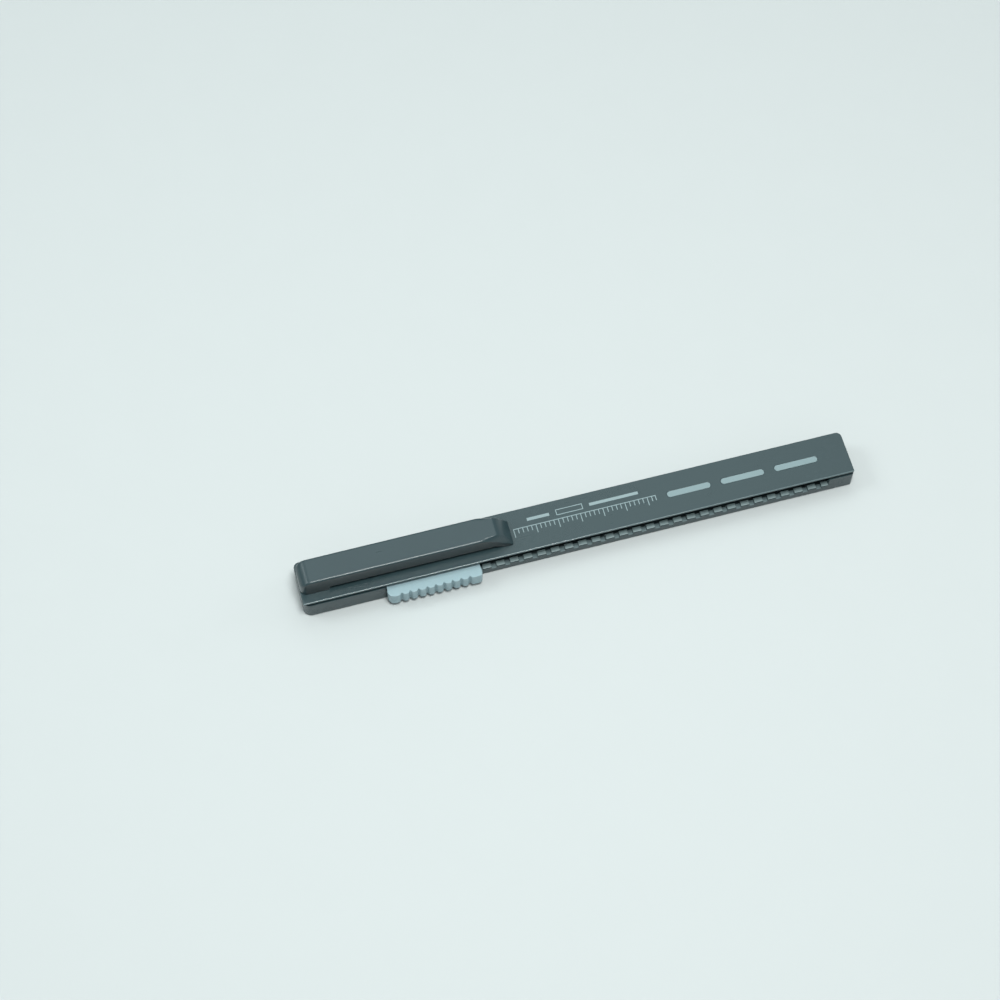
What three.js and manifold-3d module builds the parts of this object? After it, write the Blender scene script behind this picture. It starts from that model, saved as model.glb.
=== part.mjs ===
// A slim, flat eraser holder: a thumb slide runs along a toothed slot in the case's side and
// pushes a flat eraser stick out of the mouth. Millimetres. The origin is the centre of the
// bottom face, +X points to the mouth, -Y to the thumb slide and +Z to the pocket clip.
import * as THREE from "three";
import { mergeVertices } from "three/addons/utils/BufferGeometryUtils.js";
import Module from "manifold-3d";

const wasm = await Module();
wasm.setup();

// ---------------------------------------------------------------- driving dimensions
// Stations along the length are measured from the rear end, where the clip is rooted.

// The closed case
const CASE_LENGTH = 123.4;
const CASE_WIDTH = 10.2;
const CASE_HEIGHT = 6.3;
const FLOOR_THICKNESS = 0.9;
const WALL_THICKNESS = 1.2;
const COVER_THICKNESS = 0.9;
const COVER_WEB = 0.5; // what is left of the cover over the eraser channel
const FAR_CORNER_RADIUS = 1.2;
const NEAR_REAR_RADIUS = 1.8;
const NEAR_FRONT_RADIUS = 0.5;
const COVER_NEAR_RADIUS = 0.35;

// The shadow line between the cover's thin edge and the case, and the lips that stand in it
const COVER_EDGE_THICKNESS = 0.4;
const REVEAL_HEIGHT = 0.45; // below the cover; above that it is cut into the cover itself
const REVEAL_DEPTH = 0.5;
const LIP_WIDTH = 0.6;

// The solid rear end, and what plugs into it
const REAR_BLOCK_LENGTH = 9;
const PEG_RADIUS = 0.7;
const PEG_DEPTH = 2.2;
const PEG_FROM_BLOCK_FRONT = 1.6;
const PEG_SPREAD = 4.4;

// The side slot with its toothed ledge
const LEDGE_HEIGHT = 2.4;
const NOTCH_PITCH = 3.07;
const NOTCH_LENGTH = 1.1;
const NOTCH_FLOOR = 1.7;
const SLOT_FRONT_WALL = 5.6;

// Sight windows in the cover
const WINDOW_COUNT = 3;
const WINDOW_LENGTH = 9.9;
const WINDOW_WIDTH = 1.5;
const WINDOW_PITCH = 12.22;
const LAST_WINDOW_FROM_MOUTH = 6.9;
const STRIP_THICKNESS = 0.3;
const STRIP_MARGIN = 0.9;

// The mouth
const GUIDE_LENGTH = 3;
const GUIDE_INSET = 0.2;
const GUIDE_TONGUE_LENGTH = 1;
const GUIDE_TONGUE_DEPTH = 0.4;

// The thumb slide
const KNOB_START = 18.1;
const KNOB_LENGTH = 20.8;
const KNOB_HEIGHT = 3.5;
const KNOB_REACH = 2.4;
const KNOB_REAR_RADIUS = 1.5;
const KNOB_FRONT_RADIUS = 0.8;
const GROOVE_COUNT = 9;
const GROOVE_PITCH = 1.88;
const GROOVE_WIDTH = 0.64;
const GROOVE_DEPTH = 0.45;
const NECK_INSET = 0.1; // how far the neck stops short of each end of the knob
const PRESS_TRAVEL = 0.5;

// The latch behind the slot, its spring and the carriage
const LATCH_THICKNESS = 0.8;
const LATCH_INSET = 3.2; // from each end of the neck
const LATCH_TEETH = 3;
const TOOTH_SHIFT = 1.2; // of the middle tooth, ahead of the latch's middle
const TOOTH_REACH = 0.55;
const TOOTH_SHORTER = 0.3; // than the notch that it drops into
const LATCH_PEG_INSET = 2.4; // of each peg's middle, from the ends of the latch
const LATCH_PEG_LENGTH = 1.4;
const LATCH_PEG_HEIGHT = 0.7;
const SPRING_THICKNESS = 0.2;
const SPRING_HEIGHT = 2.4;
const SPRING_INSET = 1.4; // from each end of the latch
const SPRING_SPACE = 0.55; // what is left for the spring with the thumb slide pressed home
const LUG_LENGTH = 1.5;
const CARRIAGE_FRONT_WALL = 1.6;
const CARRIAGE_SHELL = 1;

// The eraser and its jaws
const JAW_THICKNESS = 0.45;
const JAW_LENGTH = 4.8;
const JAW_FLANGE = 0.55;
const JAW_SIDE_MARGIN = 0.5;
const JAW_PEG_LENGTH = 0.9;
const JAW_PEG_WIDTH = 1.6;
const JAW_PEG_HEIGHT = 0.8;
const ERASER_RECESS = 1.4; // from the mouth, with the thumb slide fully back
const FAR_SIDE_PLAY = 0.45;

// The pocket clip
const CLIP_FLAT_END = 43.2;
const CLIP_TIP = 46.9;
const CLIP_WIDTH = 5.9;
const CLIP_RISE = 5; // top of the bar above the cover
const CLIP_GAP = 1; // daylight between the bar and the cover
const CLIP_WALL = 1.1;
const CLIP_REAR_INSET = 0.1;
const CLIP_REAR_RADIUS = 2.5;
const CLIP_CORNER_RADIUS = 1.4;
const CLIP_ROOT_LENGTH = 6.5;
const CLIP_NOSE_LENGTH = 2.6;
const CLIP_CORE_END_MARGIN = 4;
const FOOT_SETBACK = 0.5; // from the inside of the clip's rear wall
const FOOT_LENGTH = 3.4;
const FOOT_SIDE_PLAY = 0.25;
const FOOT_RISE = 2.4;
const FOOT_DEPTH = 3.4;

// Clearances and cutters
const SLIDE_CLEARANCE = 0.15; // between pieces that move on each other
const FIT_CLEARANCE = 0.05; // between pieces that are fixed to each other
const THROUGH = 1; // how far a cutter runs past the face it opens
const ROUND_SIDES = 24; // of a cylinder

// ---------------------------------------------------------------- what follows from them

const nearFace = -CASE_WIDTH / 2;
const farFace = CASE_WIDTH / 2;
const nearInside = nearFace + WALL_THICKNESS;
const farInside = farFace - WALL_THICKNESS;
const coverUnderside = CASE_HEIGHT - COVER_THICKNESS;
const caseTop = coverUnderside - FIT_CLEARANCE;
const revealBottom = coverUnderside - REVEAL_HEIGHT;
const lipSeat = revealBottom - FIT_CLEARANCE;
const lipStart = FAR_CORNER_RADIUS;
const lipEnd = CASE_LENGTH - FAR_CORNER_RADIUS;

// The room for what moves: from above the floor to below the window strip
const webUnderside = CASE_HEIGHT - COVER_WEB;
const stripBottom = webUnderside - FIT_CLEARANCE - STRIP_THICKNESS;
const movingBottom = FLOOR_THICKNESS + SLIDE_CLEARANCE;
const movingTop = stripBottom - SLIDE_CLEARANCE;

// The neck crosses the slot over the ledge and below the cover's lip
const neckStart = KNOB_START + NECK_INSET;
const neckEnd = KNOB_START + KNOB_LENGTH - NECK_INSET;
const neckBottom = LEDGE_HEIGHT + SLIDE_CLEARANCE;
const knobTop = revealBottom - SLIDE_CLEARANCE;
const knobBottom = knobTop - KNOB_HEIGHT;
const knobOuter = nearFace - KNOB_REACH;
const knobInner = nearFace - PRESS_TRAVEL - SLIDE_CLEARANCE;
const toothTip = nearInside + FIT_CLEARANCE;
const toothRoot = toothTip + TOOTH_REACH;
const neckTip = toothRoot - FIT_CLEARANCE;

const latchStart = neckStart + LATCH_INSET;
const latchEnd = neckEnd - LATCH_INSET;
const toothMiddle = (latchStart + latchEnd) / 2 + TOOTH_SHIFT;
const latchBack = toothRoot + LATCH_THICKNESS;
const latchTop = knobTop - SLIDE_CLEARANCE;

const carriageStart = latchStart - SLIDE_CLEARANCE - LUG_LENGTH;
const carriageEnd = latchEnd + SLIDE_CLEARANCE + LUG_LENGTH;
const carriageNear = latchBack + PRESS_TRAVEL + SPRING_SPACE;
const carriageFar = farInside - SLIDE_CLEARANCE;
const lugTop = LEDGE_HEIGHT - SLIDE_CLEARANCE;

// The eraser fills the channel that the neck and the far wall leave
const eraserNear = neckTip + PRESS_TRAVEL + SLIDE_CLEARANCE;
const eraserFar = farInside - FAR_SIDE_PLAY;
const eraserBottom = movingBottom + JAW_THICKNESS + FIT_CLEARANCE;
const eraserTop = movingTop - JAW_THICKNESS - FIT_CLEARANCE;
const jawStart = carriageEnd + FIT_CLEARANCE;
const jawEnd = jawStart + JAW_LENGTH;
const eraserStart = jawStart + JAW_FLANGE + FIT_CLEARANCE;
const eraserEnd = CASE_LENGTH - ERASER_RECESS;

const guideEnd = CASE_LENGTH - GUIDE_INSET;
const guideStart = guideEnd - GUIDE_LENGTH;

// The stroke is the most whole notches that bring the jaws up to the mouth guide
const strokeNotches = Math.floor((guideStart - jawEnd) / NOTCH_PITCH);
const STROKE = strokeNotches * NOTCH_PITCH;
const slotStart = neckStart - SLIDE_CLEARANCE;
const slotEnd = Math.max(CASE_LENGTH - SLOT_FRONT_WALL, neckEnd + STROKE + SLIDE_CLEARANCE);

const clipStart = CLIP_REAR_INSET;
const clipTop = CASE_HEIGHT + CLIP_RISE;
const clipUnderside = CASE_HEIGHT + CLIP_GAP;
const clipSeat = CASE_HEIGHT + SLIDE_CLEARANCE;
const clipCoreStart = clipStart + CLIP_WALL;
const clipCoreSide = CLIP_WIDTH / 2 - CLIP_WALL;
const footStart = clipCoreStart + FOOT_SETBACK;
const footEnd = footStart + FOOT_LENGTH;
const footSide = clipCoreSide - FOOT_SIDE_PLAY;
const pegStation = REAR_BLOCK_LENGTH - PEG_FROM_BLOCK_FRONT;

// ---------------------------------------------------------------- helpers

// A station from the rear end, as an X coordinate.
const at = (station) => station - CASE_LENGTH / 2;

// A closed three.js geometry as a solid that can be joined and cut.
function solid(geometry) {
  const bare = geometry.clone();
  bare.deleteAttribute("normal");
  bare.deleteAttribute("uv");
  const merged = mergeVertices(bare, 1e-4);
  return new wasm.Manifold(
    new wasm.Mesh({
      numProp: 3,
      vertProperties: merged.attributes.position.array,
      triVerts: new Uint32Array(merged.index.array),
    }),
  );
}

// A solid back as a three.js geometry.
function geometryOf(body) {
  const { vertProperties, triVerts } = body.getMesh();
  const geometry = new THREE.BufferGeometry();
  geometry.setAttribute("position", new THREE.BufferAttribute(vertProperties, 3));
  geometry.setIndex(new THREE.BufferAttribute(triVerts, 1));
  geometry.computeVertexNormals();
  return geometry;
}

// A box between two stations, two widths and two heights.
function block([s0, s1], [y0, y1], [z0, z1]) {
  const box = new THREE.BoxGeometry(s1 - s0, y1 - y0, z1 - z0);
  box.translate(at((s0 + s1) / 2), (y0 + y1) / 2, (z0 + z1) / 2);
  return solid(box);
}

// A plan outline, drawn in stations and widths, raised from one height to another.
function raised(outline, [z0, z1], curveSegments = 8) {
  const settings = { depth: z1 - z0, bevelEnabled: false, curveSegments };
  return solid(new THREE.ExtrudeGeometry(outline, settings).translate(at(0), 0, z0));
}

// A side outline, drawn in stations and heights, run across from one width to another.
function across(outline, [y0, y1], curveSegments = 8) {
  const settings = { depth: y1 - y0, bevelEnabled: false, curveSegments };
  const geometry = new THREE.ExtrudeGeometry(outline, settings);
  return solid(geometry.rotateX(Math.PI / 2).translate(at(0), y1, 0));
}

// A rectangle with its own radius at each corner, named by side and end.
function roundedPlan([s0, s1], [y0, y1], { nearRear, nearFront, farFront, farRear }) {
  const plan = new THREE.Shape();
  plan.moveTo(s0 + nearRear, y0);
  plan.lineTo(s1 - nearFront, y0);
  plan.absarc(s1 - nearFront, y0 + nearFront, nearFront, -Math.PI / 2, 0);
  plan.lineTo(s1, y1 - farFront);
  plan.absarc(s1 - farFront, y1 - farFront, farFront, 0, Math.PI / 2);
  plan.lineTo(s0 + farRear, y1);
  plan.absarc(s0 + farRear, y1 - farRear, farRear, Math.PI / 2, Math.PI);
  plan.lineTo(s0, y0 + nearRear);
  plan.absarc(s0 + nearRear, y0 + nearRear, nearRear, Math.PI, 1.5 * Math.PI);
  return plan;
}

// The case's plan, with the near corners as asked.
function casePlan(nearRear, nearFront) {
  return roundedPlan([0, CASE_LENGTH], [nearFace, farFace], {
    nearRear,
    nearFront,
    farFront: FAR_CORNER_RADIUS,
    farRear: FAR_CORNER_RADIUS,
  });
}

// A round-ended slot along the length, centred across the case.
function stadium(start, length, width) {
  const r = width / 2;
  const radii = { nearRear: r, nearFront: r, farFront: r, farRear: r };
  return roundedPlan([start, start + length], [-r, r], radii);
}

// An upright cylinder at a station and a width.
function upright(station, y, radius, [z0, z1]) {
  const cylinder = new THREE.CylinderGeometry(radius, radius, z1 - z0, ROUND_SIDES);
  cylinder.rotateX(Math.PI / 2).translate(at(station), y, (z0 + z1) / 2);
  return solid(cylinder);
}

function windowStarts() {
  const last = CASE_LENGTH - LAST_WINDOW_FROM_MOUTH - WINDOW_LENGTH;
  return Array.from({ length: WINDOW_COUNT }, (_, i) => last - i * WINDOW_PITCH);
}

const pegPlaces = [-PEG_SPREAD / 2, PEG_SPREAD / 2];

// ---------------------------------------------------------------- the case

// The notches cross the ledge. They stand in line with the latch teeth at the rear end of the
// stroke, and go on at the same pitch to both ends of the slot.
function notchStations() {
  const behind = Math.floor((toothMiddle - NOTCH_LENGTH / 2 - slotStart) / NOTCH_PITCH);
  const ahead = Math.floor((slotEnd - toothMiddle - NOTCH_LENGTH / 2) / NOTCH_PITCH);
  const count = behind + ahead + 1;
  return Array.from({ length: count }, (_, i) => toothMiddle + (i - behind) * NOTCH_PITCH);
}

function lowerCase() {
  let tray = raised(casePlan(NEAR_REAR_RADIUS, NEAR_FRONT_RADIUS), [0, caseTop]);
  const above = caseTop + THROUGH;
  const channel = [REAR_BLOCK_LENGTH, CASE_LENGTH + THROUGH];
  tray = tray.subtract(block(channel, [nearInside, farInside], [FLOOR_THICKNESS, above]));
  const wholeLength = [-THROUGH, CASE_LENGTH + THROUGH];
  tray = tray.subtract(block(wholeLength, [nearFace - THROUGH, nearInside], [lipSeat, above]));
  const farSeat = [farInside, farInside + LIP_WIDTH + FIT_CLEARANCE];
  const farSeatSpan = [lipStart - FIT_CLEARANCE, lipEnd + FIT_CLEARANCE];
  tray = tray.subtract(block(farSeatSpan, farSeat, [lipSeat, above]));
  const slot = [slotStart, slotEnd];
  tray = tray.subtract(block(slot, [nearFace - THROUGH, nearInside], [LEDGE_HEIGHT, above]));
  const ledge = [nearFace - THROUGH, nearInside + FIT_CLEARANCE];
  for (const station of notchStations()) {
    const notch = [station - NOTCH_LENGTH / 2, station + NOTCH_LENGTH / 2];
    tray = tray.subtract(block(notch, ledge, [NOTCH_FLOOR, LEDGE_HEIGHT + FIT_CLEARANCE]));
  }
  const socket = [footStart - FIT_CLEARANCE, footEnd + FIT_CLEARANCE];
  const socketFloor = caseTop - FOOT_DEPTH - FIT_CLEARANCE;
  const socketSides = [-footSide - FIT_CLEARANCE, footSide + FIT_CLEARANCE];
  tray = tray.subtract(block(socket, socketSides, [socketFloor, above]));
  for (const y of pegPlaces) {
    const bottom = coverUnderside - PEG_DEPTH - FIT_CLEARANCE;
    tray = tray.subtract(upright(pegStation, y, PEG_RADIUS + FIT_CLEARANCE, [bottom, above]));
  }
  return tray.subtract(guideTongue(FIT_CLEARANCE));
}

// The tongue that locks the mouth guide in the floor; with a clearance, the groove for it.
function guideTongue(clearance) {
  const middle = (guideStart + guideEnd) / 2;
  const half = GUIDE_TONGUE_LENGTH / 2 + clearance;
  const side = farInside - WALL_THICKNESS / 2 + clearance;
  const bottom = FLOOR_THICKNESS - GUIDE_TONGUE_DEPTH - clearance;
  return block([middle - half, middle + half], [-side, side], [bottom, movingBottom]);
}

function topCover() {
  const plan = casePlan(COVER_NEAR_RADIUS, COVER_NEAR_RADIUS);
  let cover = raised(plan, [coverUnderside, CASE_HEIGHT]);
  const lipSpan = [lipStart, lipEnd];
  const lipHeights = [revealBottom, coverUnderside + FIT_CLEARANCE];
  const nearLip = [nearFace + REVEAL_DEPTH, nearInside - FIT_CLEARANCE];
  const farLip = [farInside + FIT_CLEARANCE, farInside + LIP_WIDTH];
  cover = cover.add(block(lipSpan, nearLip, lipHeights));
  cover = cover.add(block(lipSpan, farLip, lipHeights));
  const wholeLength = [-THROUGH, CASE_LENGTH + THROUGH];
  const edgeSides = [nearFace - THROUGH, nearFace + REVEAL_DEPTH];
  const edgeHeights = [revealBottom, CASE_HEIGHT - COVER_EDGE_THICKNESS];
  cover = cover.subtract(block(wholeLength, edgeSides, edgeHeights));
  for (const y of pegPlaces) {
    const heights = [coverUnderside - PEG_DEPTH, coverUnderside + FIT_CLEARANCE];
    cover = cover.add(upright(pegStation, y, PEG_RADIUS, heights));
  }
  const relief = [REAR_BLOCK_LENGTH, CASE_LENGTH + THROUGH];
  const reliefSides = [eraserNear - SLIDE_CLEARANCE, eraserFar + SLIDE_CLEARANCE];
  const reliefHeights = [coverUnderside - FIT_CLEARANCE, webUnderside];
  cover = cover.subtract(block(relief, reliefSides, reliefHeights));
  const through = [coverUnderside - THROUGH, CASE_HEIGHT + THROUGH];
  for (const start of windowStarts()) {
    cover = cover.subtract(raised(stadium(start, WINDOW_LENGTH, WINDOW_WIDTH), through));
  }
  const opening = [footStart - FIT_CLEARANCE, footEnd + FIT_CLEARANCE];
  const openingSides = [-footSide - FIT_CLEARANCE, footSide + FIT_CLEARANCE];
  return cover.subtract(block(opening, openingSides, through));
}

// A frosted strip below the cover, with a raised pad that fills each window flush.
function windowStrip() {
  const starts = windowStarts();
  const first = Math.min(...starts) - STRIP_MARGIN;
  const last = Math.max(...starts) + WINDOW_LENGTH + STRIP_MARGIN;
  const stripTop = stripBottom + STRIP_THICKNESS;
  const half = WINDOW_WIDTH / 2 + STRIP_MARGIN;
  let strip = block([first, last], [-half, half], [stripBottom, stripTop]);
  for (const start of starts) {
    const length = WINDOW_LENGTH - 2 * FIT_CLEARANCE;
    const pad = stadium(start + FIT_CLEARANCE, length, WINDOW_WIDTH - 2 * FIT_CLEARANCE);
    strip = strip.add(raised(pad, [stripBottom + STRIP_THICKNESS / 2, CASE_HEIGHT]));
  }
  return strip;
}

// A trough between floor, walls and cover that guides the eraser where it is rubbed.
function mouthGuide() {
  const sides = [nearInside + FIT_CLEARANCE, farInside - FIT_CLEARANCE];
  const heights = [FLOOR_THICKNESS + FIT_CLEARANCE, caseTop];
  let guide = block([guideStart, guideEnd], sides, heights);
  const opening = [guideStart - THROUGH, guideEnd + THROUGH];
  const openingSides = [eraserNear - SLIDE_CLEARANCE, eraserFar + SLIDE_CLEARANCE];
  const bottom = eraserBottom - SLIDE_CLEARANCE;
  guide = guide.subtract(block(opening, openingSides, [bottom, caseTop + THROUGH]));
  return guide.add(guideTongue(0));
}

// ---------------------------------------------------------------- the pocket clip

// The bar's side outline: a root down on the cover, a raised bar, and a nose that bends down.
function clipOutline() {
  const side = new THREE.Shape();
  const noseStart = CLIP_TIP - CLIP_NOSE_LENGTH;
  side.moveTo(clipStart, clipSeat);
  side.lineTo(CLIP_ROOT_LENGTH, clipSeat);
  side.lineTo(CLIP_ROOT_LENGTH, clipUnderside);
  side.lineTo(noseStart - CLIP_GAP, clipUnderside);
  side.quadraticCurveTo(noseStart, clipUnderside, noseStart + CLIP_GAP / 2, clipSeat);
  side.lineTo(CLIP_TIP - CLIP_GAP / 2, clipSeat);
  side.quadraticCurveTo(CLIP_TIP, clipSeat, CLIP_TIP, clipSeat + CLIP_GAP / 2);
  side.bezierCurveTo(
    CLIP_TIP - CLIP_GAP,
    clipSeat + CLIP_RISE / 2,
    CLIP_FLAT_END + CLIP_GAP,
    clipTop,
    CLIP_FLAT_END,
    clipTop,
  );
  side.lineTo(clipStart + CLIP_REAR_RADIUS, clipTop);
  const turn = [Math.PI / 2, Math.PI];
  side.absarc(clipStart + CLIP_REAR_RADIUS, clipTop - CLIP_REAR_RADIUS, CLIP_REAR_RADIUS, ...turn);
  return side;
}

function pocketClip() {
  const half = CLIP_WIDTH / 2;
  const bar = across(clipOutline(), [-half, half]);
  const plan = roundedPlan([clipStart, CLIP_TIP + THROUGH], [-half, half], {
    nearRear: CLIP_CORNER_RADIUS / 2,
    nearFront: FIT_CLEARANCE,
    farFront: FIT_CLEARANCE,
    farRear: CLIP_CORNER_RADIUS,
  });
  const rounded = bar.intersect(raised(plan, [0, clipTop + THROUGH]));
  const core = [clipCoreStart, CLIP_FLAT_END - CLIP_CORE_END_MARGIN];
  const coreHeights = [0, clipTop - CLIP_WALL];
  return rounded.subtract(block(core, [-clipCoreSide, clipCoreSide], coreHeights));
}

// The root that holds the clip: through the cover and down into the case's rear block.
function clipFoot() {
  const heights = [caseTop - FOOT_DEPTH, CASE_HEIGHT + FOOT_RISE];
  return block([footStart, footEnd], [-footSide, footSide], heights);
}

// ---------------------------------------------------------------- the thumb slide and latch

// Two pegs that join the thumb slide to the latch; with a clearance, the holes for them.
function latchPegs(clearance) {
  const middle = (neckBottom + latchTop) / 2;
  const halfLength = LATCH_PEG_LENGTH / 2 + clearance;
  const halfHeight = LATCH_PEG_HEIGHT / 2 + clearance;
  const stations = [latchStart + LATCH_PEG_INSET, latchEnd - LATCH_PEG_INSET];
  return stations.map((station) =>
    block(
      [station - halfLength, station + halfLength],
      [neckTip - clearance, latchBack + clearance],
      [middle - halfHeight, middle + halfHeight],
    ),
  );
}

function thumbSlide() {
  const plan = roundedPlan([KNOB_START, KNOB_START + KNOB_LENGTH], [knobOuter, knobInner], {
    nearRear: KNOB_REAR_RADIUS,
    nearFront: KNOB_FRONT_RADIUS,
    farFront: FIT_CLEARANCE,
    farRear: FIT_CLEARANCE,
  });
  let slide = raised(plan, [knobBottom, knobTop]);
  const middle = KNOB_START + KNOB_LENGTH / 2;
  const r = GROOVE_WIDTH / 2;
  const radii = { nearRear: FIT_CLEARANCE, nearFront: FIT_CLEARANCE, farFront: r, farRear: r };
  const grooveSides = [knobOuter - THROUGH, knobOuter + GROOVE_DEPTH];
  for (let i = 0; i < GROOVE_COUNT; i++) {
    const station = middle + (i - (GROOVE_COUNT - 1) / 2) * GROOVE_PITCH;
    const groove = roundedPlan([station - r, station + r], grooveSides, radii);
    slide = slide.subtract(raised(groove, [knobBottom - THROUGH, knobTop + THROUGH]));
  }
  const neckHeights = [neckBottom, knobTop];
  slide = slide.add(block([neckStart, neckEnd], [knobInner - FIT_CLEARANCE, neckTip], neckHeights));
  for (const peg of latchPegs(0)) slide = slide.add(peg);
  return slide;
}

// The plate behind the slot. Its teeth stand just clear of the notches.
function latchPlate() {
  let plate = block([latchStart, latchEnd], [toothRoot, latchBack], [movingBottom, latchTop]);
  const toothHeights = [NOTCH_FLOOR + SLIDE_CLEARANCE, LEDGE_HEIGHT - SLIDE_CLEARANCE];
  const half = (NOTCH_LENGTH - TOOTH_SHORTER) / 2;
  for (let i = 0; i < LATCH_TEETH; i++) {
    const station = toothMiddle + (i - (LATCH_TEETH - 1) / 2) * NOTCH_PITCH;
    const depth = [toothTip, toothRoot + FIT_CLEARANCE];
    plate = plate.add(block([station - half, station + half], depth, toothHeights));
  }
  for (const hole of latchPegs(FIT_CLEARANCE)) plate = plate.subtract(hole);
  return plate;
}

// A bowed leaf: its ends lean on the carriage and its crown on the latch.
function latchSpring() {
  const start = latchStart + SPRING_INSET;
  const end = latchEnd - SPRING_INSET;
  const crown = latchBack + FIT_CLEARANCE;
  const feet = carriageNear - FIT_CLEARANCE;
  const half = (end - start) / 2;
  const bow = feet - crown - SPRING_THICKNESS;
  const radius = (half * half + bow * bow) / (2 * bow);
  const centre = crown + SPRING_THICKNESS + radius;
  const spread = Math.asin(half / radius);
  const leaf = new THREE.Shape();
  const down = -Math.PI / 2;
  leaf.absarc(start + half, centre, radius, down - spread, down + spread, false);
  leaf.absarc(start + half, centre, radius + SPRING_THICKNESS, down + spread, down - spread, true);
  const middle = (movingBottom + latchTop) / 2;
  return raised(leaf, [middle - SPRING_HEIGHT / 2, middle + SPRING_HEIGHT / 2], 16);
}

// ---------------------------------------------------------------- the carriage and jaws

const jawMiddle = (movingBottom + movingTop) / 2;

// The peg by which a jaw is held in the carriage; with a clearance, the hole for it.
function jawPeg(side, clearance) {
  const y = (carriageNear + carriageFar) / 2;
  const z = jawMiddle + side * JAW_PEG_HEIGHT;
  const start = carriageEnd - JAW_PEG_LENGTH - clearance;
  const halfWidth = JAW_PEG_WIDTH / 2 + clearance;
  const halfHeight = JAW_PEG_HEIGHT / 2 + clearance;
  const heights = [z - halfHeight, z + halfHeight];
  return block([start, jawStart + FIT_CLEARANCE], [y - halfWidth, y + halfWidth], heights);
}

function carriage() {
  const heights = [movingBottom, movingTop];
  let sled = block([carriageStart, carriageEnd], [carriageNear, carriageFar], heights);
  const lugSides = [toothRoot, carriageNear + FIT_CLEARANCE];
  const lugHeights = [movingBottom, lugTop];
  for (const start of [carriageStart, carriageEnd - LUG_LENGTH]) {
    sled = sled.add(block([start, start + LUG_LENGTH], lugSides, lugHeights));
  }
  const core = [carriageStart + CARRIAGE_SHELL, carriageEnd - CARRIAGE_FRONT_WALL];
  const coreSides = [carriageNear + CARRIAGE_SHELL, carriageFar - CARRIAGE_SHELL];
  const coreHeights = [movingBottom + CARRIAGE_SHELL, movingTop + THROUGH];
  sled = sled.subtract(block(core, coreSides, coreHeights));
  for (const side of [-1, 1]) sled = sled.subtract(jawPeg(side, FIT_CLEARANCE));
  return sled;
}

// One jaw: a finger along the eraser, a flange behind its tail, and a peg into the carriage.
function jaw(side) {
  const sides = [eraserNear + JAW_SIDE_MARGIN, eraserFar - JAW_SIDE_MARGIN];
  const outer = side > 0 ? movingTop : movingBottom;
  const inner = outer - side * JAW_THICKNESS;
  const split = jawMiddle + (side * FIT_CLEARANCE) / 2;
  const sorted = (a, b) => [Math.min(a, b), Math.max(a, b)];
  let body = block([jawStart, jawEnd], sides, sorted(outer, inner));
  body = body.add(block([jawStart, jawStart + JAW_FLANGE], sides, sorted(outer, split)));
  return body.add(jawPeg(side, 0));
}

function eraserStick() {
  const sides = [eraserNear, eraserFar];
  return block([eraserStart, eraserEnd], sides, [eraserBottom, eraserTop]);
}

// ---------------------------------------------------------------- the assembly

function plastic(color, roughness) {
  return new THREE.MeshStandardMaterial({ color, roughness, metalness: 0 });
}

const casePlastic = () => plastic(0x3a4347, 0.55);
const clipPlastic = () => plastic(0x262d30, 0.35);
const innerPlastic = () => plastic(0x1d2022, 0.6);
const slidePlastic = () => plastic(0xaec0c8, 0.5);
const frostedPlastic = () => plastic(0xb9c9cc, 0.6);
const rubber = () => plastic(0xe9edec, 0.9);
const springSteel = () =>
  new THREE.MeshStandardMaterial({ color: 0xa9adb0, roughness: 0.3, metalness: 1 });

const pieces = [
  ["lower_case", lowerCase(), casePlastic()],
  ["top_cover", topCover(), casePlastic()],
  ["window_strip", windowStrip(), frostedPlastic()],
  ["mouth_guide", mouthGuide(), innerPlastic()],
  ["clip_foot", clipFoot(), clipPlastic()],
  ["pocket_clip", pocketClip(), clipPlastic()],
  ["thumb_slide", thumbSlide(), slidePlastic()],
  ["latch_plate", latchPlate(), innerPlastic()],
  ["latch_spring", latchSpring(), springSteel()],
  ["carriage", carriage(), innerPlastic()],
  ["upper_jaw", jaw(1), innerPlastic()],
  ["lower_jaw", jaw(-1), innerPlastic()],
  ["eraser", eraserStick(), rubber()],
];

const holder = new THREE.Group();
for (const [name, body, material] of pieces) {
  const mesh = new THREE.Mesh(geometryOf(body), material);
  mesh.name = name;
  holder.add(mesh);
}

export default holder;
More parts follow.
